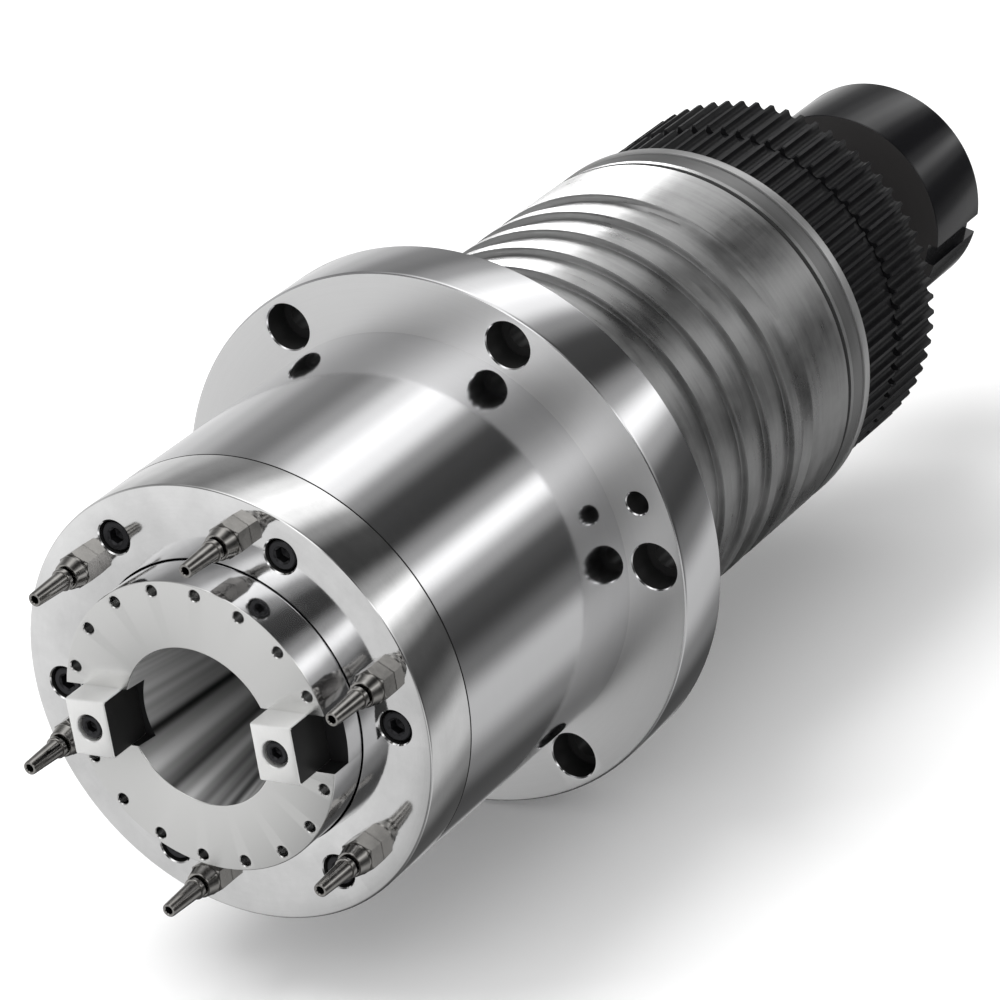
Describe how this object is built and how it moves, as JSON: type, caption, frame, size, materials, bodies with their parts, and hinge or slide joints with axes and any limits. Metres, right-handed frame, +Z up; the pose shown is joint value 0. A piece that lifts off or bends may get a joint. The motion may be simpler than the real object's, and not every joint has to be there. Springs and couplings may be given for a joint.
{
  "type": "water-cooled machine tool spindle",
  "caption": "Belt-driven cartridge spindle with a steep taper nose, drive keys, coolant nozzles, bolting flange, helical water jacket and spring drawbar.",
  "frame": {"origin": "centre of the flange's rear face, which seats on the headstock", "axes": "+Y along the spindle axis from the nose to the tail, +X through the first drive key, +Z up"},
  "size_m": [0.248, 0.6165, 0.248],
  "materials": {
    "polished_steel": "ground and polished",
    "ground_steel": "fine turned, satin",
    "key_steel": "ground, bright",
    "jacket_metal": "turned, matt grey",
    "cover_steel": "turned",
    "nickel_plate": "nickel plated",
    "black_screw": "black oxide",
    "black_oxide": "black oxide, satin",
    "black_gloss": "black, glossy",
    "rubber_seal": "matt",
    "bearing_steel": "ground",
    "cage_resin": "fabric-filled resin",
    "plain_steel": "turned",
    "hard_steel": "hardened, ground",
    "spring_steel": "oiled spring steel"
  },
  "bodies": {
    "cartridge": {"housing": "polished_steel", "cooling_jacket": "jacket_metal", "body_o_rings": "rubber_seal", "nozzle_cover": "polished_steel", "cover_screws": "black_screw", "cover_o_rings": "rubber_seal", "nozzle_bodies": "nickel_plate", "nozzle_caps": "nickel_plate", "front_bearing_outer_rings": "bearing_steel", "front_outer_spacer": "plain_steel", "rear_bearing_outer_rings": "bearing_steel", "rear_outer_spacer": "plain_steel", "rear_cover": "cover_steel", "rear_cover_screws": "black_screw", "rear_cover_o_ring": "rubber_seal"},
    "rotor": {"spindle_shaft": "ground_steel", "drive_keys": "key_steel", "key_screws": "black_screw", "labyrinth_ring": "ground_steel", "front_bearing_inner_rings": "bearing_steel", "front_inner_spacer": "plain_steel", "front_lock_nut": "plain_steel", "rear_bearing_inner_rings": "bearing_steel", "rear_inner_spacer": "plain_steel", "rear_lock_nut": "plain_steel", "belt_pulley": "black_oxide", "pulley_key": "plain_steel", "pulley_lock_nut": "plain_steel", "tail_adapter": "black_gloss", "tail_adapter_screws": "black_screw", "tail_disc": "black_gloss", "tail_disc_screws": "black_screw", "disc_springs": "spring_steel"},
    "front_cage": {"front_bearing_balls": "bearing_steel", "front_bearing_cages": "cage_resin"},
    "rear_cage": {"rear_bearing_balls": "bearing_steel", "rear_bearing_cages": "cage_resin"},
    "drawbar": {"drawbar": "hard_steel", "spring_collar": "plain_steel", "push_cap": "hard_steel"},
    "claw_1": {"gripper_claw_1": "hard_steel"},
    "claw_2": {"gripper_claw_2": "hard_steel"},
    "claw_3": {"gripper_claw_3": "hard_steel"},
    "claw_4": {"gripper_claw_4": "hard_steel"},
    "nozzle_1": {"nozzle_tube_1": "nickel_plate"},
    "nozzle_2": {"nozzle_tube_2": "nickel_plate"},
    "nozzle_3": {"nozzle_tube_3": "nickel_plate"},
    "nozzle_4": {"nozzle_tube_4": "nickel_plate"},
    "nozzle_5": {"nozzle_tube_5": "nickel_plate"},
    "nozzle_6": {"nozzle_tube_6": "nickel_plate"}
  },
  "joints": [
    {"name": "rotor_spin", "type": "hinge", "parent": "cartridge", "child": "rotor", "pos_m": [0, 0, 0], "axis": [0, 1, 0], "continuous": true},
    {"name": "front_cage_orbit", "type": "hinge", "parent": "cartridge", "child": "front_cage", "pos_m": [0, -0.098, 0], "axis": [0, 1, 0], "continuous": true},
    {"name": "rear_cage_orbit", "type": "hinge", "parent": "cartridge", "child": "rear_cage", "pos_m": [0, 0.154, 0], "axis": [0, 1, 0], "continuous": true},
    {"name": "drawbar_stroke", "type": "slide", "parent": "rotor", "child": "drawbar", "axis": [0, -1, 0], "range_m": [0, 0.007], "stiffness_N_per_m": 20000, "springref_m": -0.01, "deforming": ["disc_springs"]},
    {"name": "claw_1_open", "type": "hinge", "parent": "drawbar", "child": "claw_1", "pos_m": [0.0152, -0.049, 0], "axis": [0, 0, 1], "range_deg": [0, 5.1]},
    {"name": "claw_2_open", "type": "hinge", "parent": "drawbar", "child": "claw_2", "pos_m": [0, -0.049, 0.0152], "axis": [-1, 0, 0], "range_deg": [0, 5.1]},
    {"name": "claw_3_open", "type": "hinge", "parent": "drawbar", "child": "claw_3", "pos_m": [-0.0152, -0.049, 0], "axis": [0, 0, -1], "range_deg": [0, 5.1]},
    {"name": "claw_4_open", "type": "hinge", "parent": "drawbar", "child": "claw_4", "pos_m": [0, -0.049, -0.0152], "axis": [1, 0, 0], "range_deg": [0, 5.1]},
    {"name": "nozzle_1_aim", "type": "hinge", "parent": "cartridge", "child": "nozzle_1", "pos_m": [0.07824, -0.195, 0.02096], "axis": [-0.2588, 0, 0.9659], "range_deg": [-8, 8]},
    {"name": "nozzle_2_aim", "type": "hinge", "parent": "cartridge", "child": "nozzle_2", "pos_m": [0.02096, -0.195, 0.07824], "axis": [-0.9659, 0, 0.2588], "range_deg": [-8, 8]},
    {"name": "nozzle_3_aim", "type": "hinge", "parent": "cartridge", "child": "nozzle_3", "pos_m": [-0.05728, -0.195, 0.05728], "axis": [-0.7071, 0, -0.7071], "range_deg": [-8, 8]},
    {"name": "nozzle_4_aim", "type": "hinge", "parent": "cartridge", "child": "nozzle_4", "pos_m": [-0.07824, -0.195, -0.02096], "axis": [0.2588, 0, -0.9659], "range_deg": [-8, 8]},
    {"name": "nozzle_5_aim", "type": "hinge", "parent": "cartridge", "child": "nozzle_5", "pos_m": [-0.02096, -0.195, -0.07824], "axis": [0.9659, 0, -0.2588], "range_deg": [-8, 8]},
    {"name": "nozzle_6_aim", "type": "hinge", "parent": "cartridge", "child": "nozzle_6", "pos_m": [0.05728, -0.195, -0.05728], "axis": [0.7071, 0, 0.7071], "range_deg": [-8, 8]}
  ],
  "couplings": [
    {"joint": "front_cage_orbit", "follows": "rotor_spin", "ratio": 0.4382},
    {"joint": "rear_cage_orbit", "follows": "rotor_spin", "ratio": 0.4328},
    {"joint": "claw_1_open", "follows": "drawbar_stroke", "rad_per_m": 12.46},
    {"joint": "claw_2_open", "follows": "drawbar_stroke", "rad_per_m": 12.46},
    {"joint": "claw_3_open", "follows": "drawbar_stroke", "rad_per_m": 12.46},
    {"joint": "claw_4_open", "follows": "drawbar_stroke", "rad_per_m": 12.46}
  ]
}
